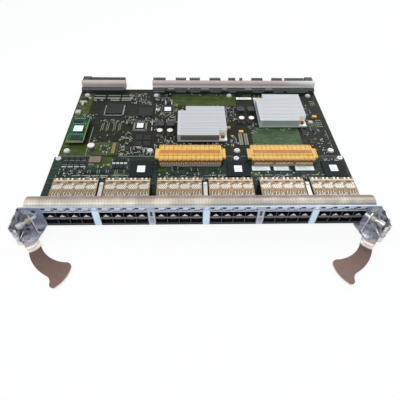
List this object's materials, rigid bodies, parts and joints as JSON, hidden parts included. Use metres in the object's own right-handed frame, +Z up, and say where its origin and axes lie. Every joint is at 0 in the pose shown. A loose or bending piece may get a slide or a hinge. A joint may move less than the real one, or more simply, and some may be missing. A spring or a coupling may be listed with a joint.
{
  "type": "switch line card",
  "caption": "Blade for a storage network chassis: stacked transceiver ports along a folded front panel, two boards with finned heatsinks, backplane connectors and a lever ejector at each end.",
  "frame": {"origin": "on the underside of the carrier tray, midway between the panel's two ends and 150 mm behind the panel's front face", "axes": "+X to the right along the front panel seen from the front, +Y from the front panel to the backplane, +Z up from the tray to the component side"},
  "size_m": [0.432, 0.4104, 0.04],
  "materials": {
    "zinc_plated_steel": "satin zinc plate",
    "bare_board": "green-black solder mask",
    "stainless_cage": "warm bright sheet",
    "black_plastic": "matt black",
    "clear_plastic": "clear light pipe",
    "gasket_metal": "tinned copper fingers",
    "stainless_lever": "dull brown-grey steel",
    "bright_steel": "bright plated",
    "aluminium_sink": "clear anodised",
    "brass_spring": "bright brass",
    "orange_plastic": "amber moulding",
    "beige_plastic": "beige moulding",
    "bar_aluminium": "extruded, satin",
    "chip_epoxy": "dark epoxy",
    "shield_metal": "dull lid",
    "capacitor_can": "bright can",
    "tantalum_epoxy": "orange epoxy",
    "card_board": "green solder mask",
    "header_metal": "gilt resistor strip"
  },
  "bodies": {
    "card": {"carrier_tray": "zinc_plated_steel", "tray_rivets": "bright_steel", "standoffs": "bright_steel", "port_board": "bare_board", "main_board": "bare_board", "board_screws": "bright_steel", "face_panel": "zinc_plated_steel", "light_pipes": "clear_plastic", "status_lenses": "black_plastic", "top_gasket": "gasket_metal", "panel_posts": "zinc_plated_steel", "post_screws": "bright_steel", "screw_receptacles": "bright_steel", "port_cage_1": "stainless_cage", "port_cage_2": "stainless_cage", "port_cage_3": "stainless_cage", "port_cage_4": "stainless_cage", "port_cage_5": "stainless_cage", "port_cage_6": "stainless_cage", "port_connectors": "black_plastic", "ejector_bracket_left": "zinc_plated_steel", "ejector_bracket_right": "zinc_plated_steel", "pivot_rivets": "bright_steel", "heatsink_a": "aluminium_sink", "heatsink_b": "aluminium_sink", "switch_chips": "chip_epoxy", "push_pins": "brass_spring", "pin_springs": "brass_spring", "bridge_sockets": "beige_plastic", "bridge_cover_a": "orange_plastic", "bridge_cover_b": "orange_plastic", "backplane_connectors": "black_plastic", "connector_fillers": "black_plastic", "guide_blocks": "black_plastic", "rear_bar_left": "bar_aluminium", "rear_bar_right": "bar_aluminium", "leaded_chips": "chip_epoxy", "memory_chips": "chip_epoxy", "port_chips": "chip_epoxy", "shield_can": "shield_metal", "capacitors": "capacitor_can", "inductors": "chip_epoxy", "tantalum_capacitors": "tantalum_epoxy", "pin_header": "header_metal", "plug_in_card": "card_board", "card_sockets": "black_plastic", "card_chip": "chip_epoxy"},
    "ejector_left": {"lever_left": "stainless_lever", "screw_bracket_left": "bright_steel", "lever_rivet_left": "bright_steel", "screw_ferrule_left": "bright_steel"},
    "screw_carriage_left": {"screw_washer_left": "bright_steel"},
    "thumb_screw_left": {"captive_screw_left": "bright_steel"},
    "ejector_right": {"lever_right": "stainless_lever", "screw_bracket_right": "bright_steel", "lever_rivet_right": "bright_steel", "screw_ferrule_right": "bright_steel"},
    "screw_carriage_right": {"screw_washer_right": "bright_steel"},
    "thumb_screw_right": {"captive_screw_right": "bright_steel"}
  },
  "joints": [
    {"name": "ejector_left", "type": "hinge", "parent": "card", "child": "ejector_left", "pos_m": [-0.2069, -0.1711, 0.0065], "axis": [0, 0, 1], "range_deg": [0, 45]},
    {"name": "screw_slide_left", "type": "slide", "parent": "ejector_left", "child": "screw_carriage_left", "axis": [0.7071, 0.7071, 0], "range_m": [0, 0.0039]},
    {"name": "screw_turn_left", "type": "hinge", "parent": "screw_carriage_left", "child": "thumb_screw_left", "pos_m": [-0.20662, -0.1687, 0.03], "axis": [0.7071, 0.7071, 0], "continuous": true},
    {"name": "ejector_right", "type": "hinge", "parent": "card", "child": "ejector_right", "pos_m": [0.2069, -0.1711, 0.0065], "axis": [0, 0, -1], "range_deg": [0, 45]},
    {"name": "screw_slide_right", "type": "slide", "parent": "ejector_right", "child": "screw_carriage_right", "axis": [-0.7071, 0.7071, 0], "range_m": [0, 0.0039]},
    {"name": "screw_turn_right", "type": "hinge", "parent": "screw_carriage_right", "child": "thumb_screw_right", "pos_m": [0.20662, -0.1687, 0.03], "axis": [-0.7071, 0.7071, 0], "continuous": true}
  ]
}
